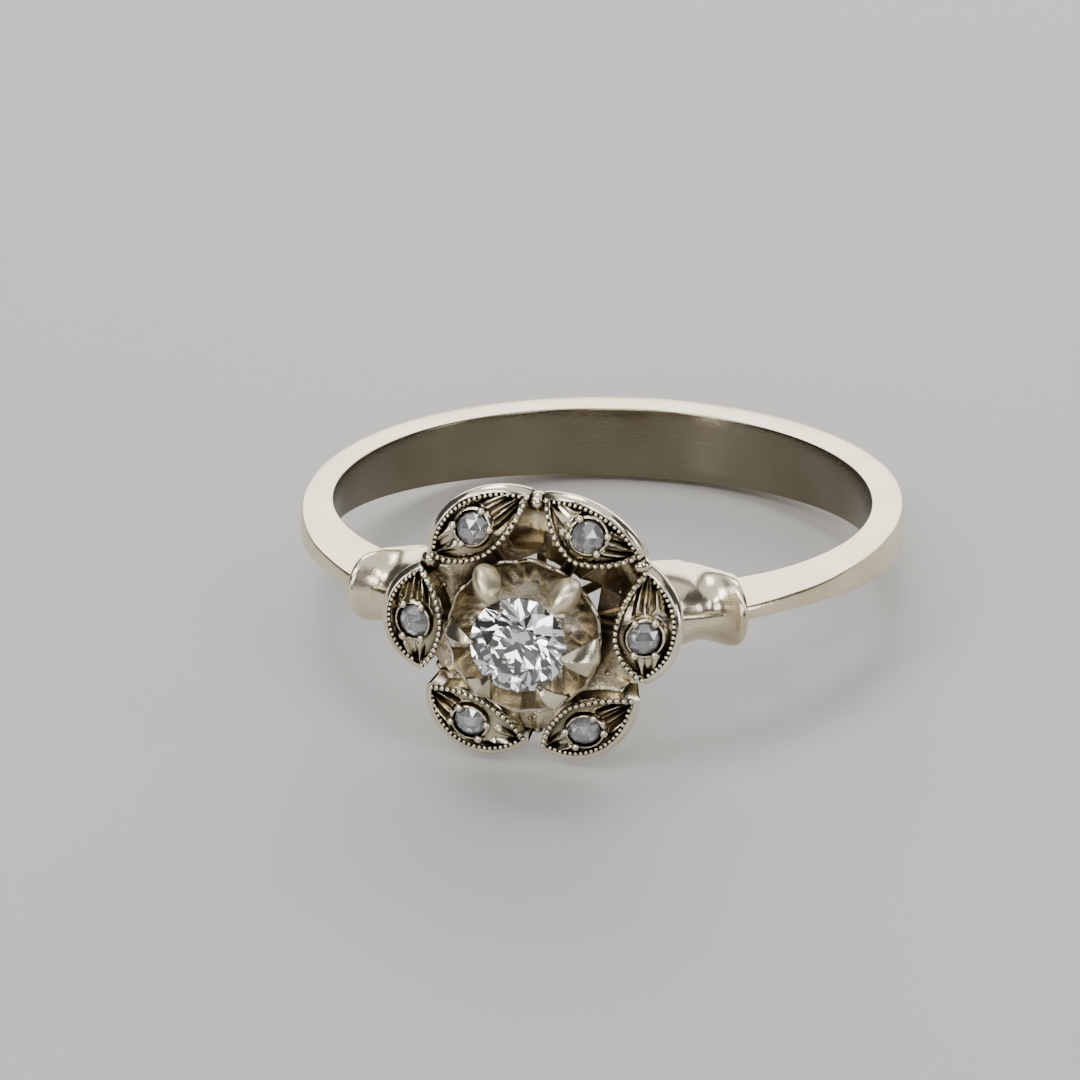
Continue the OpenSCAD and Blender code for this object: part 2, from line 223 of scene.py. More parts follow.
def metal(name, light, dark, rough, tarnish_and_shade=0.0, tarnish_and_shade_mm=0.35, scratch=0.25, painted_shade=False, shade_at=(0.15, 0.50, 0.86)):
    """Worn white gold: light and dark colour mottling, fine scratches and
    brown tarnish with painted shade where the surface is closed in."""
    m = bpy.data.materials.new(name)
    m.use_nodes = True
    t = m.node_tree
    p = t.nodes["Principled BSDF"]
    p.inputs["Metallic"].default_value = 1.0
    tc = node(t, "ShaderNodeTexCoord")
    big = node(t, "ShaderNodeTexNoise")
    big.inputs["Scale"].default_value = 420
    big.inputs["Detail"].default_value = 4
    t.links.new(tc.outputs["Object"], big.inputs["Vector"])
    ramp = node(t, "ShaderNodeValToRGB")
    ramp.color_ramp.elements[0].position = 0.35
    ramp.color_ramp.elements[0].color = (*dark, 1)
    ramp.color_ramp.elements[1].position = 0.68
    ramp.color_ramp.elements[1].color = (*light, 1)
    t.links.new(big.outputs["Fac"], ramp.inputs["Fac"])
    colour = ramp.outputs["Color"]
    # tarnish and painted shade: ambient occlusion darkens closed-in places to brown and near black, partly tarnish,
    # partly painted shade
    if tarnish_and_shade > 0:
        ao = node(t, "ShaderNodeAmbientOcclusion")
        ao.samples = 12
        ao.inputs["Distance"].default_value = tarnish_and_shade_mm * 0.001
        shade = node(t, "ShaderNodeValToRGB")
        shade.color_ramp.elements[0].position = shade_at[0]
        shade.color_ramp.elements[0].color = (0.034, 0.027, 0.018, 1)
        mid = shade.color_ramp.elements.new(shade_at[1])
        mid.color = (0.21, 0.18, 0.125, 1)
        shade.color_ramp.elements[-1].position = shade_at[2]
        shade.color_ramp.elements[-1].color = (1, 1, 1, 1)
        t.links.new(ao.outputs["AO"], shade.inputs["Fac"])
        mix = node(t, "ShaderNodeMix", data_type="RGBA", blend_type="MULTIPLY")
        mix.inputs["Factor"].default_value = tarnish_and_shade
        t.links.new(colour, mix.inputs["A"])
        t.links.new(shade.outputs["Color"], mix.inputs["B"])
        colour = mix.outputs["Result"]
    # painted shade: the per-vertex factor darkens the colour
    if painted_shade:
        vc = node(t, "ShaderNodeVertexColor", layer_name="painted_shade")
        mix = node(t, "ShaderNodeMix", data_type="RGBA", blend_type="MULTIPLY")
        mix.inputs["Factor"].default_value = 1.0
        t.links.new(colour, mix.inputs["A"])
        t.links.new(vc.outputs["Color"], mix.inputs["B"])
        colour = mix.outputs["Result"]
    t.links.new(colour, p.inputs["Base Color"])
    # roughness: patches of finer and coarser wear
    wear = node(t, "ShaderNodeTexNoise")
    wear.inputs["Scale"].default_value = 900
    wear.inputs["Detail"].default_value = 6
    wear.inputs["Roughness"].default_value = 0.7
    t.links.new(tc.outputs["Object"], wear.inputs["Vector"])
    rr = node(t, "ShaderNodeMapRange")
    rr.inputs["To Min"].default_value = rough * 0.6
    rr.inputs["To Max"].default_value = rough * 1.5
    t.links.new(wear.outputs["Fac"], rr.inputs["Value"])
    t.links.new(rr.outputs["Result"], p.inputs["Roughness"])
    # fine scratches in two directions
    height = None
    for k, (rot, stretch) in enumerate((((0.3, 0.2, 0.5), (900, 9000, 9000)), ((0.9, 1.1, -0.4), (9000, 1200, 9000)))):
        mp = node(t, "ShaderNodeMapping")
        mp.inputs["Rotation"].default_value = rot
        mp.inputs["Scale"].default_value = stretch
        t.links.new(tc.outputs["Object"], mp.inputs["Vector"])
        n = node(t, "ShaderNodeTexNoise")
        n.inputs["Scale"].default_value = 1.0
        n.inputs["Detail"].default_value = 3
        t.links.new(mp.outputs["Vector"], n.inputs["Vector"])
        if height is None:
            height = n.outputs["Fac"]
        else:
            add = node(t, "ShaderNodeMath", operation="ADD")
            t.links.new(height, add.inputs[0])
            t.links.new(n.outputs["Fac"], add.inputs[1])
            height = add.outputs["Value"]
    bump = node(t, "ShaderNodeBump")
    bump.inputs["Strength"].default_value = scratch
    bump.inputs["Distance"].default_value = 0.00002
    t.links.new(height, bump.inputs["Height"])
    t.links.new(bump.outputs["Normal"], p.inputs["Normal"])
    return m


shank_metal = metal("white_gold_shank", (0.90, 0.80, 0.60), (0.76, 0.65, 0.44), 0.20, scratch=0.22, painted_shade=True)
collar_metal = metal("white_gold_collar", (0.88, 0.79, 0.61), (0.64, 0.55, 0.39), 0.20, tarnish_and_shade=0.8, scratch=0.2)
petal_metal = metal("white_gold_petal", (0.95, 0.89, 0.73), (0.66, 0.58, 0.42), 0.16, tarnish_and_shade=1.0, tarnish_and_shade_mm=0.46, scratch=0.2,
                    shade_at=(0.20, 0.56, 0.90))
cup_metal = metal("white_gold_cup", (0.84, 0.77, 0.62), (0.36, 0.31, 0.22), 0.18, tarnish_and_shade=1.0, tarnish_and_shade_mm=0.9, scratch=0.35,
                  shade_at=(0.32, 0.64, 0.94))
claw_metal = metal("white_gold_claw", (0.95, 0.88, 0.70), (0.76, 0.68, 0.49), 0.19, tarnish_and_shade=1.0, tarnish_and_shade_mm=0.6, scratch=0.2)
bead_metal = metal("white_gold_thumb", (0.95, 0.87, 0.67), (0.78, 0.69, 0.48), 0.34, tarnish_and_shade=1.0, tarnish_and_shade_mm=0.6, scratch=0.2)
web_metal = metal("white_gold_web", (0.84, 0.76, 0.58), (0.44, 0.37, 0.25), 0.24, tarnish_and_shade=1.0, tarnish_and_shade_mm=0.6, scratch=0.5)
# painted shade: the white gold of the gallery beneath the petals is made much darker than the rest
shaded_under_metal = metal("white_gold_under_painted_shade", (0.52, 0.44, 0.31), (0.30, 0.235, 0.15), 0.34, tarnish_and_shade=0.9, tarnish_and_shade_mm=0.9, scratch=0.4)


def stone_material(name, tint, clear, ior, rough=0.0):
    m = bpy.data.materials.new(name)
    m.use_nodes = True
    t = m.node_tree
    p = t.nodes["Principled BSDF"]
    p.inputs["Base Color"].default_value = (*tint, 1)
    p.inputs["Roughness"].default_value = rough
    p.inputs["IOR"].default_value = ior
    p.inputs["Transmission Weight"].default_value = clear
    # faint growth marks inside the polish
    tc = node(t, "ShaderNodeTexCoord")
    n = node(t, "ShaderNodeTexNoise")
    n.inputs["Scale"].default_value = 1500
    t.links.new(tc.outputs["Object"], n.inputs["Vector"])
    bump = node(t, "ShaderNodeBump")
    bump.inputs["Strength"].default_value = 0.02
    bump.inputs["Distance"].default_value = 0.00001
    t.links.new(n.outputs["Fac"], bump.inputs["Height"])
    t.links.new(bump.outputs["Normal"], p.inputs["Normal"])
    return m


clear = stone_material("clear_stone", (0.99, 0.99, 1.0), 1.0, 2.3)
small_clear = stone_material("small_stone", (0.66, 0.65, 0.68), 0.80, 2.6)
for name, o in frame["nodes"].items():
    if name == "centre_stone" or name.startswith("petal_stone"):
        o.data.materials.clear()
        o.data.materials.append(clear if name == "centre_stone" else small_clear)
        o.data.polygons.foreach_set("use_smooth", [False] * len(o.data.polygons))

# ---- shank ----------------------------------------------------------------
# angle from the flower, inside half height, outside half height, outside radius
SHANK = [
    [22, 0.50, 0.24, 11.05], [30, 0.50, 0.23, 10.92], [37, 0.50, 0.24, 10.62],
    [45, 0.51, 0.27, 10.30], [54, 0.54, 0.33, 10.06], [64, 0.59, 0.44, 9.84],
    [76, 0.65, 0.56, 9.69], [90, 0.74, 0.68, 9.66], [105, 0.86, 0.82, 9.75],
    [122, 0.98, 0.95, 9.93], [150, 1.12, 1.10, 10.22], [180, 1.21, 1.19, 10.35],
]


def spline(pts, per=8):
    """Catmull-Rom through the points."""
    p = np.asarray(pts, float)
    q = np.vstack([2 * p[0] - p[1], p, 2 * p[-1] - p[-2]])
    out = []
    for i in range(1, len(q) - 2):
        for t in np.linspace(0, 1, per, endpoint=False):
            out.append(
                0.5 * (2 * q[i] + (q[i + 1] - q[i - 1]) * t
                       + (2 * q[i - 1] - 5 * q[i] + 4 * q[i + 1] - q[i + 2]) * t * t
                       + (3 * q[i] - q[i - 1] - 3 * q[i + 1] + q[i + 2]) * t**3)
            )
    out.append(q[-2])
    return np.array(out)


def shank_section(a):
    a = a if a <= 180 else 360 - a
    zi, zo, ro = (float(table(SHANK, a, c)) for c in (1, 2, 3))
    m = FINGER_R + 0.55 * (ro - FINGER_R)
    f = 0.07
    fillet = [[FINGER_R + f - f * math.cos(t), zi - f + f * math.sin(t)] for t in np.linspace(0, math.pi / 2, 5)]
    top = spline([[FINGER_R + f, zi], [m, 0.42 * zi + 0.58 * zo + 0.02], [ro - 0.17, zo * 0.99],
                  [ro - 0.05, zo * 0.88], [ro - 0.008, zo * 0.45], [ro, 0]], 6)
    inner = [[FINGER_R, z] for z in np.linspace(0, zi - f, 4)[:-1]]
    half = np.vstack([inner, fillet, top[1:]])
    return np.vstack([half, half[-2:0:-1] * [1, -1]])


angles = np.linspace(24, 336, 361)
rows = []
for a in angles:
    s = shank_section(a)
    rows.append(polar(a, s[:, 0], s[:, 1]))
sh = Shape()
sh.grid(np.array(rows), wrap_v=True, cap_start=True, cap_end=True)
# the inner wall away from the flower is painted down to about a quarter of its colour: painted shade standing in for
# the dark surroundings reflected there
make("shank", sh, ring_to_row, shank_metal, 50,
     painted_shade=lambda p: 1 - 0.76 * (1 - smooth(np.hypot(p[:, 0], p[:, 1]), FINGER_R + 0.004, FINGER_R + 0.05))
     * smooth(np.degrees(np.arctan2(np.abs(p[:, 0]), -p[:, 1])), 36, 62))

# ---- collars --------------------------------------------------------------
# distance from the bell's end, radius where it is tallest, inside radius,
# outside radius, half height, squareness of the finger side and of the outside
COLLAR = [
    [0.00, 10.28, 9.175, 11.38, 1.105, 2.0, 2.00], [0.05, 10.28, 9.145, 11.41, 1.135, 2.0, 2.00],
    [0.13, 10.25, 9.120, 11.41, 1.140, 2.1, 2.00], [0.28, 10.06, 8.980, 11.20, 1.160, 2.25, 2.00],
    [0.45, 9.74, 8.790, 10.99, 1.150, 2.6, 2.00], [0.65, 9.38, 8.690, 10.82, 1.155, 3.0, 2.00],
    [0.85, 9.14, 8.665, 10.75, 1.170, 3.4, 2.00], [1.10, 9.02, 8.656, 10.76, 1.210, 3.7, 2.00],
    [1.40, 9.00, 8.656, 10.84, 1.275, 4.0, 2.05], [1.75, 9.02, 8.656, 10.92, 1.295, 4.0, 2.15],
    [2.30, 9.05, 8.656, 10.95, 1.297, 4.0, 2.20], [3.40, 9.05, 8.656, 10.95, 1.297, 4.0, 2.20],
]


def collar(name, side, end_deg, up):
    last = (end_deg - 15.5) * math.pi / 180 * 10.28
    stations = np.r_[np.linspace(0, 0.3, 8), np.linspace(0.34, 1.4, 30), np.linspace(1.5, last, 26)]
    phi = np.linspace(0, 2 * np.pi, 145)[:-1]
    rows = []

    def ring(s, scale=1.0, at=None):
        rc, ri, ro, b, ni, no = (float(table(COLLAR, s, c)) for c in (1, 2, 3, 4, 5, 6))
        c, q = np.cos(phi), np.sin(phi)
        n = np.where(c > 0, no, ni)
        half = np.where(c > 0, ro - rc, rc - ri)
        r = rc + half * np.sign(c) * np.abs(c) ** (2 / n)
        z = b * np.sign(q) * np.abs(q) ** (2 / n)
        mid = (ri + ro) / 2
        r, z = mid + (r - mid) * scale, z * scale
        r = np.maximum(r, FINGER_R + 0.006)
        a = end_deg - math.degrees((s if at is None else at) / 10.28)
        p = polar(a, r, z + up)
        p[..., 0] *= side
        return p

    # the end's shallow dish, from its middle out to the rim
    for scale, at in ((0.02, 0.10), (0.30, 0.105), (0.60, 0.09), (0.84, 0.05), (0.93, 0.015), (0.965, 0.0)):
        rows.append(ring(0.0, scale, at))
    for s in stations:
        rows.append(ring(s))
    rows.append(ring(last, 0.97, last + 0.03))
    rows.append(ring(last, 0.6, last + 0.05))
    c = Shape()
    c.grid(np.array(rows), wrap_v=True, cap_start=True, cap_end=True)
    return make(name, c, ring_to_row, collar_metal, 45)


collar("collar_right", 1, 34.2, 0.075)
collar("collar_left", -1, 32.7, 0.035)

# ---- petals ---------------------------------------------------------------
DX, DZ, DR = 2.87, 9.33, 2.58  # the dome
POINT_R = 2.62                 # inner point
SMALL_X, SMALL_R = 3.62, 0.50
BULGE = 0.20
# turn, outer reach, angle and distance of the tip clockwise of the petal's
# middle, the same of the other tip, and the end that the ridges fan from
PETALS = [
    [0, 4.69, 24, 3.96, 30, 4.12, 1], [60, 4.52, 25, 4.28, 26, 4.20, -1], [120, 4.60, 28, 4.20, 29, 3.90, -1],
    [180, 4.70, 26, 3.94, 26, 3.90, -1], [240, 4.64, 26, 3.98, 29, 3.86, -1], [300, 4.58, 25, 4.02, 27, 4.02, 1],
]


class Leaf:
    """Outline of one petal: an outer arc through both tips, and two inner
    edges that bulge towards the flower's middle."""

    def __init__(self, reach, a0, r0, a1, r1):
        a0, a1 = math.radians(-a0), math.radians(a1)
        self.tips = np.array([[r0 * math.cos(a0), r0 * math.sin(a0)], [r1 * math.cos(a1), r1 * math.sin(a1)]])
        mid = np.array([reach, 0.0])
        # circle through the tips and the outer middle
        m = 2 * (self.tips - mid)
        self.c = np.linalg.solve(m, (self.tips**2).sum(1) - (mid**2).sum())
        self.r = float(np.linalg.norm(mid - self.c))
        d = self.tips - self.c
        self.a = np.arctan2(d[:, 1], d[:, 0])

    def outer(self, v, inset=0.0):
        t = (np.asarray(v, float) + 1) / 2
        a = self.a[0] + (self.a[1] - self.a[0]) * t
        r = self.r - inset
        return np.stack([self.c[0] + r * np.cos(a), self.c[1] + r * np.sin(a)], -1)

    def inner(self, v):
        v = np.asarray(v, float)
        s = np.abs(v)[..., None]
        out = np.zeros(v.shape + (2,))
        for k, side in ((0, v < 0), (1, v >= 0)):
            chord = self.tips[k] - np.array([POINT_R, 0.0])
            n = np.array([-abs(chord[1]), np.sign(chord[1]) * chord[0]]) / np.linalg.norm(chord)
            line = np.array([POINT_R, 0.0]) + chord * s + n * BULGE * 4 * s * (1 - s)
            out = np.where(side[..., None], line, out)
        return out


def dome(x, y, r=DR):
    return DZ + np.sqrt(np.maximum(r * r - (x - DX) ** 2 - y**2, 0.01))


def dist_inner(leaf, p):
    line = leaf.inner(np.linspace(-1, 1, 241))
    flat = p.reshape(-1, 2)
    out = np.empty(len(flat))
    for i in range(0, len(flat), 4000):
        out[i:i + 4000] = np.sqrt(((flat[i:i + 4000, None] - line[None]) ** 2).sum(-1)).min(1)
    return out.reshape(p.shape[:-1])


def ridge(u, at, half, height):
    return height * np.clip(1 - np.abs(u - at) / half, 0, 1) ** 0.85


def petal_height(leaf, v, p, fan):
    """Height over the dome: rim, beaded ledge, sunk field, ridges and seat."""
    x, y = p[..., 0], p[..., 1]
    d_out = leaf.r - np.hypot(x - leaf.c[0], y - leaf.c[1])
    d_in = dist_inner(leaf, p)
    width = np.maximum(d_out + d_in, 0.02)
    f = d_in / width                    # 0 at the inner edge, 1 at the outer
    along = v * fan                     # 1 at the tip that the ridges fan from
    # ridges, in parts of the petal's width; they sink into the field by the stone
    near = smooth(along, 0.20, 0.36)
    far = smooth(-along, 0.26, 0.44)
    beside = 1 - np.maximum(near, far)
    field = -0.27 + 0.06 * smooth(-width, -0.9, -0.3)
    r = np.zeros_like(f)
    r = np.maximum(r, near * ridge(f, 0.31, 0.085, 0.23))
    r = np.maximum(r, near * ridge(f, 0.515, 0.080, 0.24))
    r = np.maximum(r, near * ridge(f, 0.715, 0.075, 0.22))
    r = np.maximum(r, far * ridge(f, 0.38, 0.095, 0.17))
    r = np.maximum(r, far * ridge(f, 0.66, 0.095, 0.16))
    r = np.maximum(r, beside * ridge(f, 0.845, 0.050, 0.14))
    z = field + r
    # seat of the stone
    cs = 0.957
    d = np.hypot((x - SMALL_X) / cs, y)
    lip = 1 - smooth(d, SMALL_R + 0.08, SMALL_R + 0.20)
    z = z * (1 - lip) + lip * (-0.075)
    z = np.where(d < SMALL_R + 0.045, z * 0 - 0.075 - 0.22 * (1 - smooth(d, SMALL_R + 0.005, SMALL_R + 0.045)), z)
    # inner beaded ledge and the smooth outer rim
    ledge = 1 - smooth(d_in, 0.15, 0.20)
    z = z * (1 - ledge) + ledge * (-0.07)
    rim = 1 - smooth(d_out, 0.19, 0.25)
    crown = -0.06 * (1 - np.clip(d_out / 0.10, 0, 1)) ** 2 - 0.03 * smooth(d_out, 0.13, 0.20)
    z = z * (1 - rim) + rim * crown
    edge = 1 - smooth(np.minimum(d_in, 1), 0.0, 0.04)
    return z - 0.03 * edge * (1 - rim)


def lift(p, z):
    """Points of the dome raised by z."""
    return np.stack([p[..., 0], p[..., 1], dome(p[..., 0], p[..., 1]) + z], -1)


def petal(name, turn, reach, a0, r0, a1, r1, fan):
    leaf = Leaf(reach, a0, r0, a1, r1)
    nv, nu = 251, 85
    v = np.linspace(-1, 1, nv)
    u = np.linspace(0, 1, nu)
    V = np.meshgrid(v, u, indexing="ij")[0]
    a, b = leaf.inner(v), leaf.outer(v)
    p = a[:, None] * (1 - u[None, :, None]) + b[:, None] * u[None, :, None]
    top = lift(p, petal_height(leaf, V, p, fan))
    s = Shape()
    # underside: the walls on the flower's inner side run down and inwards to
    # the gallery, and the outer wall turns in below the rim
    low_in = a + np.array([-0.30, 0.0]) - 0.10 * np.stack([0 * v, np.sign(v) * np.abs(v)], -1)
    low_out = leaf.outer(v, 0.22)
    under = low_in[:, None] * (1 - u[None, :, None]) + low_out[:, None] * u[None, :, None]
    h_out = dome(b[:, 0], b[:, 1]) - 0.62
    h_in = np.full(nv, 10.0)
    h = h_in[:, None] * (1 - u[None]) ** 2 + (1 - (1 - u[None]) ** 2) * h_out[:, None]
    bottom = np.stack([under[..., 0], under[..., 1], np.minimum(h, top[..., 2] - 0.3)], -1)
    # one closed skin: top, outer wall, bottom, inner wall
    step = np.linspace(0, 1, 7)[1:-1]
    bow = np.array([0.10, 0.0, 0.0])
    wall_out = np.stack([top[:, -1] * (1 - t) + bottom[:, -1] * t
                         + 0.06 * math.sin(math.pi * t) * np.c_[(b - leaf.c) / leaf.r, 0 * v]
                         for t in step], 1)
    wall_in = np.stack([bottom[:, 0] * (1 - t) + top[:, 0] * t + bow * math.sin(math.pi * t) for t in step], 1)
    skin = np.concatenate([top, wall_out, bottom[:, ::-1][:, ::4], wall_in], 1)
    s.grid(skin, wrap_v=True, cap_start=True, cap_end=True)
    # beads along the inner edges
    line = leaf.inner(np.linspace(-0.97, 0.97, 400))
    arc = np.r_[0, np.cumsum(np.linalg.norm(np.diff(line, axis=0), axis=1))]
    n = int(round(arc[-1] / 0.212))
    at = (np.arange(n) + 0.5) / n * arc[-1]
    c = np.stack([np.interp(at, arc, line[:, 0]), np.interp(at, arc, line[:, 1])], -1)
    towards = np.array([SMALL_X, 0]) - c
    towards /= np.linalg.norm(towards, axis=1, keepdims=True)
    c = c + towards * 0.080
    rng = np.random.default_rng(int(turn) + 7)
    rad = 0.092 + rng.uniform(-0.008, 0.008, len(c))
    s.balls(np.c_[c, dome(c[:, 0], c[:, 1]) - 0.045], rad)
    # smaller beads inside the outer rim
    t = np.arange(-0.88, 0.881, 0.38 / (leaf.r * (leaf.a[1] - leaf.a[0])))
    c = leaf.outer(t, 0.265)
    s.balls(np.c_[c, dome(c[:, 0], c[:, 1]) - 0.095], 0.070)
    # grains that hold the stone
    for a_deg, rr in ((58, 0.13), (122, 0.12), (238, 0.13), (302, 0.12)):
        g = math.radians(a_deg)
        c = np.array([[SMALL_X + (SMALL_R + 0.09) * math.cos(g) * 0.957, (SMALL_R + 0.09) * math.sin(g)]])
        s.balls(np.c_[c, dome(c[:, 0], c[:, 1]) - 0.02], rr)
    return make(name, s, lambda q: flower_to_row(spin(q, turn)), petal_metal, 55, 0.0002)


for k, row in enumerate(PETALS):
    petal("petal_%d" % (k + 1), *row)

# ---- cup ------------------------------------------------------------------
CLAWS = [-12, 50, 120, 180, 232, 297]


def lobe(phi):
    """0 at a claw, 1 in the middle of the lobe between two claws, and the
    place across the lobe from 0 to 1."""
    c = sorted([a % 360 for a in CLAWS])
    out, pos = np.zeros_like(phi), np.zeros_like(phi)
    for a, b in zip(c, c[1:] + [c[0] + 360]):
        for off in (0, -360):
            inside = (phi >= a + off) & (phi < b + off)
            x = (phi - (a + off)) / (b - a)
            out = np.where(inside, np.sin(np.pi * x), out)
            pos = np.where(inside, x, pos)
    return out, pos


phi = np.linspace(0, 360, 721)[:-1]
q, pos = lobe(phi)
top_lobe = 0.30 + 0.70 * ((phi > CLAWS[1]) & (phi < CLAWS[2]))
scallop = (1 - np.abs(np.cos(np.pi * 3 * pos)) ** 2.5) * top_lobe * smooth(q, 0.0, 0.35)
rim_r = 2.22 + 0.09 * q + 0.12 * scallop
rim_h = 12.20 + 0.05 * q + 0.18 * scallop
INSIDE = [[0.00, 0.02, 10.95], [0.20, 0.75, 11.0], [0.40, 1.25, 11.2], [0.60, 1.66, 11.5],
          [0.80, 2.02, 11.93], [0.92, 2.19, 12.2], [1.00, 2.26, 12.3]]
OUTSIDE = [[0.00, 2.26, 12.3], [0.15, 2.18, 12.0], [0.35, 1.98, 11.6], [0.55, 1.66, 11.05],
           [0.75, 1.36, 10.5], [0.90, 1.12, 9.95], [1.00, 0.95, 9.6]]
rows = []
for t in np.linspace(0, 1, 40):
    r, h = float(table(INSIDE, t, 1)), float(table(INSIDE, t, 2))
    k = smooth(t, 0.35, 1.0)
    rr = r + k * (rim_r - 2.26) + 0.05 * q * math.sin(math.pi * min(max((t - 0.2) / 0.8, 0), 1))
    hh = h + k * (rim_h - 12.3) - 0.10 * q * math.sin(math.pi * min(max((t - 0.2) / 0.8, 0), 1))
    flute = scallop * math.sin(math.pi * min(max((t - 0.40) / 0.60, 0), 1))
    rr, hh = rr + 0.07 * flute, hh - 0.15 * flute
    rows.append(np.stack([rr * np.cos(np.radians(phi)), rr * np.sin(np.radians(phi)), hh], -1))
for dr, dh in ((0.02, 0.035), (0.06, 0.04), (0.095, 0.01)):
    rr, hh = rim_r + dr, rim_h + dh
    rows.append(np.stack([rr * np.cos(np.radians(phi)), rr * np.sin(np.radians(phi)), hh], -1))
for t in np.linspace(0.04, 1, 30):
    r, h = float(table(OUTSIDE, t, 1)), float(table(OUTSIDE, t, 2))
    k = 1 - smooth(t, 0.0, 0.8)
    rr = r + 0.10 + k * (rim_r - 2.26) + 0.05 * q * math.sin(math.pi * min(t / 0.8, 1))
    hh = h + k * (rim_h - 12.3)
    rows.append(np.stack([rr * np.cos(np.radians(phi)), rr * np.sin(np.radians(phi)), hh], -1))
s = Shape()
s.grid(np.array(rows), wrap_v=True, cap_start=True, cap_end=True)
make("cup", s, flower_to_row, cup_metal, 50)

# ---- claws ----------------------------------------------------------------
# along the claw from the cup's rim to the stone: radius, height, half width, thickness
CLAW = [
    [0.00, 2.36, 12.16, 0.53, 0.14], [0.14, 2.34, 12.42, 0.54, 0.24], [0.36, 2.12, 12.78, 0.43, 0.30],
    [0.60, 1.86, 13.08, 0.30, 0.29], [0.82, 1.62, 13.30, 0.18, 0.23], [1.00, 1.43, 13.40, 0.06, 0.10],
]
THUMB = [
    [0.00, 2.38, 12.32, 0.34, 0.20], [0.16, 2.34, 12.60, 0.43, 0.46], [0.38, 2.19, 12.92, 0.47, 0.60],
    [0.60, 1.99, 13.16, 0.44, 0.60], [0.82, 1.76, 13.34, 0.32, 0.46], [1.00, 1.52, 13.38, 0.12, 0.16],
]


def claw(name, deg, rows_table, roof, wide, material):
    t = np.linspace(0, 1, 30)
    R, H, W, T = (table(rows_table, t, c) for c in (1, 2, 3, 4))
    W = W * wide
    dr, dh = np.gradient(R), np.gradient(H)
    ln = np.hypot(dr, dh)
    # outward normal of the claw's back
    nr, nh = dh / ln, -dr / ln
    w = np.linspace(-1, 1, 33)
    back = np.maximum(1 - np.abs(w) ** roof, 0)      # roof across the claw
    rows = []
    for i in range(len(t)):
        top = np.stack([R[i] + nr[i] * (T[i] * back - 0.12), W[i] * w, H[i] + nh[i] * (T[i] * back - 0.12)], -1)
        base = np.stack([R[i] - nr[i] * (0.12 + 0 * w[1:-1]), W[i] * w[1:-1], H[i] - nh[i] * (0.12 + 0 * w[1:-1])], -1)
        under = base[::-1][::4]
        under = under - np.array([nr[i], 0, nh[i]]) * 0.06
        rows.append(np.vstack([top, under]))
    s = Shape()
    s.grid(np.array(rows), wrap_v=True, cap_start=True, cap_end=True)
    return make(name, s, lambda p: flower_to_row(spin(p, deg)), material, 60)


for k, (deg, wide) in enumerate(zip(CLAWS, (1.22, 1.0, 1.0, 0.86, 0.90, 0.86))):
    if deg in (50, 120):
        claw("claw_%d" % (k + 1), deg, THUMB, 2.2, wide, bead_metal)
    else:
        claw("claw_%d" % (k + 1), deg, CLAW, 1.25, wide, claw_metal)

# ---- gallery under the petals ---------------------------------------------
s = Shape()
phi = np.linspace(0, 2 * np.pi, 145)[:-1]
sec = np.array([[2.60, 9.30], [3.05, 9.30], [3.10, 9.36], [3.10, 9.86], [3.05, 9.92], [2.60, 9.92], [2.55, 9.86], [2.55, 9.36]])
s.grid(np.array([np.stack([r * np.cos(phi), r * np.sin(phi), 0 * phi + h], -1) for r, h in sec]), wrap_u=True, wrap_v=True)


def rod(s, a, b, ra, rb, n=24):
    a, b = np.array(a, float), np.array(b, float)
    d = (b - a) / np.linalg.norm(b - a)
    x = np.cross(d, [0, 0, 1.0])
    x /= np.linalg.norm(x)
    y = np.cross(d, x)
    ang = np.linspace(0, 2 * np.pi, n + 1)[:-1]
    c = np.cos(ang)[:, None] * x + np.sin(ang)[:, None] * y
    s.grid(np.array([a + (b - a) * t + c * (ra + (rb - ra) * t) for t in np.linspace(0, 1, 6)]),
           wrap_v=True, cap_start=True, cap_end=True)


# where two petals' tips are soldered: angle, distance from the flower's axis,
# and how far the web's inner edge steps back
JOINTS = [[32, 3.84, 1.05], [89, 3.82, 0.52], [152, 3.66, 0.0], [210, 3.36, 0.0], [272, 3.48, 0.0], [331, 3.46, 0.0]]
solder = Shape()
for k, (deg, reach, notch) in enumerate(JOINTS):
    a, j = math.radians(30 + 60 * k), math.radians(deg)
    ca, sa, cj, sj = math.cos(a), math.sin(a), math.cos(j), math.sin(j)
    rod(s, (2.70 * ca, 2.70 * sa, 9.5), ((reach - 0.10) * cj, (reach - 0.10) * sj, 10.50), 0.30, 0.30)
    solder.balls([((reach + 0.02) * cj, (reach + 0.02) * sj, 10.74 if reach > 3.6 else 10.52)],
                 0.32 if reach > 3.6 else 0.18, level=3)
    rod(s, (0.6 * ca, 0.6 * sa, 9.72), (2.7 * ca, 2.7 * sa, 9.7201), 0.16, 0.16)
    a = math.radians(60 * k)
    ca, sa = math.cos(a), math.sin(a)
    rod(s, (1.1 * ca, 1.1 * sa, 10.30), (3.1 * ca, 3.1 * sa, 10.88), 0.22, 0.22)
# the gallery gets the darkened white gold, painted shade under the petals
make("gallery", s, flower_to_row, shaded_under_metal, 50)
make("solder", solder, flower_to_row, petal_metal, 60)

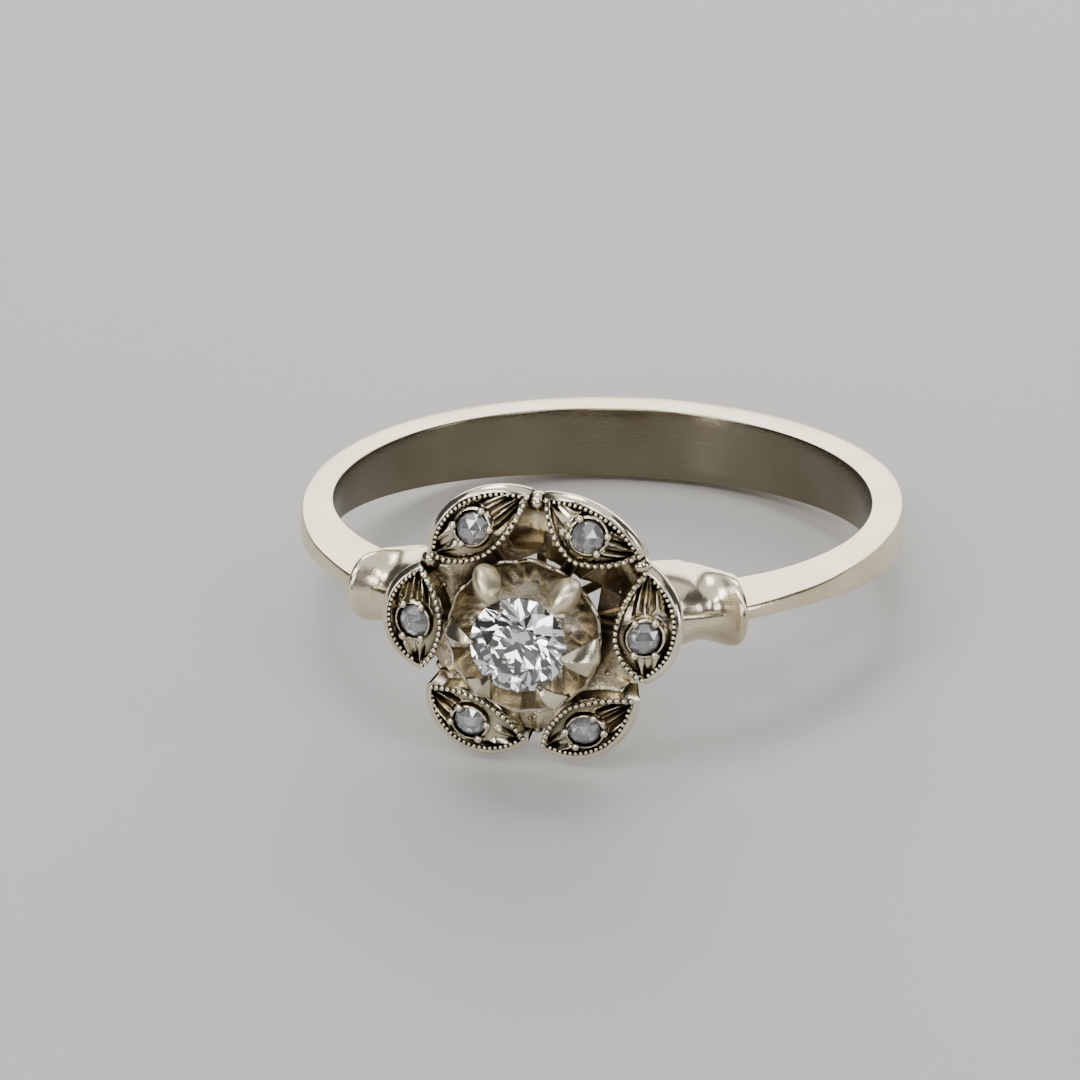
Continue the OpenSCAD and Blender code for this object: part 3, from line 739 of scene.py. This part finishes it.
# webs that close the space between two petals: distance from the flower's
# axis, height, half width in degrees
WEB = [[1.90, 10.52, 30], [2.20, 10.68, 30], [2.50, 10.80, 29], [2.90, 10.86, 24], [3.40, 10.88, 17], [3.66, 10.86, 12], [3.84, 10.80, 8]]
s = Shape()
rng = np.random.default_rng(5)
for k, (deg, reach, notch) in enumerate(JOINTS):
    w = np.linspace(-1, 1, 97)
    rows = []
    for r in np.linspace(1.90, 3.84, 52):
        h, half = float(table(WEB, r, 1)), float(table(WEB, r, 2))
        a = np.radians(deg + half * w)
        # the inner edge steps back round the opening by the cup
        place = (half * w - (8 if k == 1 else -5)) / 15
        rr = r + notch * smooth(1.25 - np.abs(place), 0.0, 0.5) * (3.84 - r) / 1.94
        rr = 1.90 + (rr - 1.90) * (reach - 1.90) / 1.94
        # a trough along the middle with a low ridge in it
        top_h = h - 0.14 * (1 - w**2) + 0.05 * np.exp(-((w - 0.08) / 0.20) ** 2) * smooth(rr, 2.5, 3.0)
        top = np.stack([rr * np.cos(a), rr * np.sin(a), top_h], -1)
        low = np.stack([rr * np.cos(a), rr * np.sin(a), h - 0.50 + 0 * a], -1)[::-1][1:-1:3]
        rows.append(np.vstack([top, low]))
    s.grid(np.array(rows), wrap_v=True, cap_start=True, cap_end=True)
    # drops of solder left on the web
    for _ in range(6 if k == 3 else 2):
        r, a = rng.uniform(2.6, reach - 0.2), math.radians(deg + rng.uniform(-10, 10))
        s.balls([(r * math.cos(a), r * math.sin(a), 10.73)], rng.uniform(0.06, 0.10), level=2)
make("webs", s, flower_to_row, web_metal, 50)

# ---- stage ----------------------------------------------------------------
mesh = bpy.data.meshes.new("floor")
mesh.from_pydata([(-3, -3, -0.00002), (3, -3, -0.00002), (3, 3, -0.00002), (-3, 3, -0.00002)], [], [(0, 1, 2, 3)])
floor = bpy.data.objects.new("floor", mesh)
bpy.context.scene.collection.objects.link(floor)
fm = bpy.data.materials.new("floor")
fm.use_nodes = True
fm.node_tree.nodes["Principled BSDF"].inputs["Base Color"].default_value = (0.46, 0.455, 0.445, 1)
fm.node_tree.nodes["Principled BSDF"].inputs["Roughness"].default_value = 0.6
floor.data.materials.append(fm)

world = bpy.data.worlds.new("studio")
world.use_nodes = True
world.node_tree.nodes["Background"].inputs["Color"].default_value = (0.05, 0.05, 0.052, 1)
world.node_tree.nodes["Background"].inputs["Strength"].default_value = 1.0
bpy.context.scene.world = world


def softbox(name, pos, target, size, power, colour=(1, 1, 1)):
    d = bpy.data.lights.new(name, "AREA")
    d.shape = "RECTANGLE"
    d.size, d.size_y = size
    d.energy = power
    d.color = colour
    o = bpy.data.objects.new(name, d)
    bpy.context.scene.collection.objects.link(o)
    p, t = np.array(pos, float), np.array(target, float)
    z = (p - t) / np.linalg.norm(p - t)
    x = np.cross([0, 0, 1.0], z)
    if np.linalg.norm(x) < 1e-6:
        x = np.array([1.0, 0, 0])
    x /= np.linalg.norm(x)
    y = np.cross(z, x)
    o.matrix_world = Matrix(((x[0], y[0], z[0], p[0]), (x[1], y[1], z[1], p[1]), (x[2], y[2], z[2], p[2]), (0, 0, 0, 1)))
    return o


softbox("overhead", (0.0, -0.02, 0.34), (0, -0.02, 0), (0.56, 0.46), 0.76, (1.0, 0.995, 0.98))
softbox("key_above", (-0.05, 0.08, 0.30), (0, 0, 0), (0.12, 0.10), 0.26, (1.0, 0.99, 0.97))
softbox("back_low", (0.02, 0.20, 0.085), (0, 0, 0.004), (0.44, 0.17), 0.76, (1.0, 0.985, 0.96))
softbox("front_fill", (0.02, -0.34, 0.15), (0, 0, 0.004), (0.20, 0.10), 0.34)
softbox("left_front", (-0.16, -0.16, 0.22), (0, 0, 0.004), (0.11, 0.08), 0.30, (1.0, 0.98, 0.95))
softbox("right_front", (0.20, -0.16, 0.16), (0, 0, 0.004), (0.07, 0.12), 0.14)
softbox("camera_top", (0.0, -0.24, 0.26), (0, 0, 0.004), (0.16, 0.035), 0.28)
# low panels beside the camera and on the right, for the bands inside the shank
softbox("low_left", (-0.20, -0.27, 0.06), (0, 0, 0.004), (0.05, 0.12), 0.12, (1.0, 0.98, 0.95))
softbox("low_right", (0.34, -0.04, 0.06), (0, 0, 0.004), (0.08, 0.12), 0.16)

# ---- camera ---------------------------------------------------------------
F_PX, DIST = 6210.6, 200.0
eps, roll, az = math.radians(17.17), math.radians(1.11), math.radians(10.8)
back = np.array([0, -math.cos(eps), math.sin(eps)])
x = np.array([1.0, 0, 0])
y = np.cross(back, x)
c, sn = math.cos(roll), math.sin(roll)
x, y = c * x + sn * y, -sn * x + c * y
ca, sa = math.cos(az), math.sin(az)
Rz = np.array([[ca, -sa, 0], [sa, ca, 0], [0, 0, 1]])
x, y, z = Rz @ x, Rz @ y, Rz @ back
pos = z * DIST
# turned so that the finger hole's middle comes to (602.1, 518.0) of 1080
d = x * ((540 - 602.1) / F_PX) + y * (-(540 - 518.0) / F_PX) - z
z2 = -d / np.linalg.norm(d)
x2 = np.cross(y, z2)
x2 /= np.linalg.norm(x2)
y2 = np.cross(z2, x2)
x2, y2, z2 = (turn_row(k) for k in (x2, y2, z2))
p = ring_to_row(pos)
cam = bpy.data.objects.new("camera", bpy.data.cameras.new("camera"))
cam.data.sensor_width = 36
cam.data.sensor_fit = "HORIZONTAL"
cam.data.lens = F_PX / 1080 * 36
cam.data.clip_start = 0.005
bpy.context.scene.collection.objects.link(cam)
cam.matrix_world = Matrix(((x2[0], y2[0], z2[0], p[0]), (x2[1], y2[1], z2[1], p[1]), (x2[2], y2[2], z2[2], p[2]), (0, 0, 0, 1)))
bpy.context.scene.camera = cam
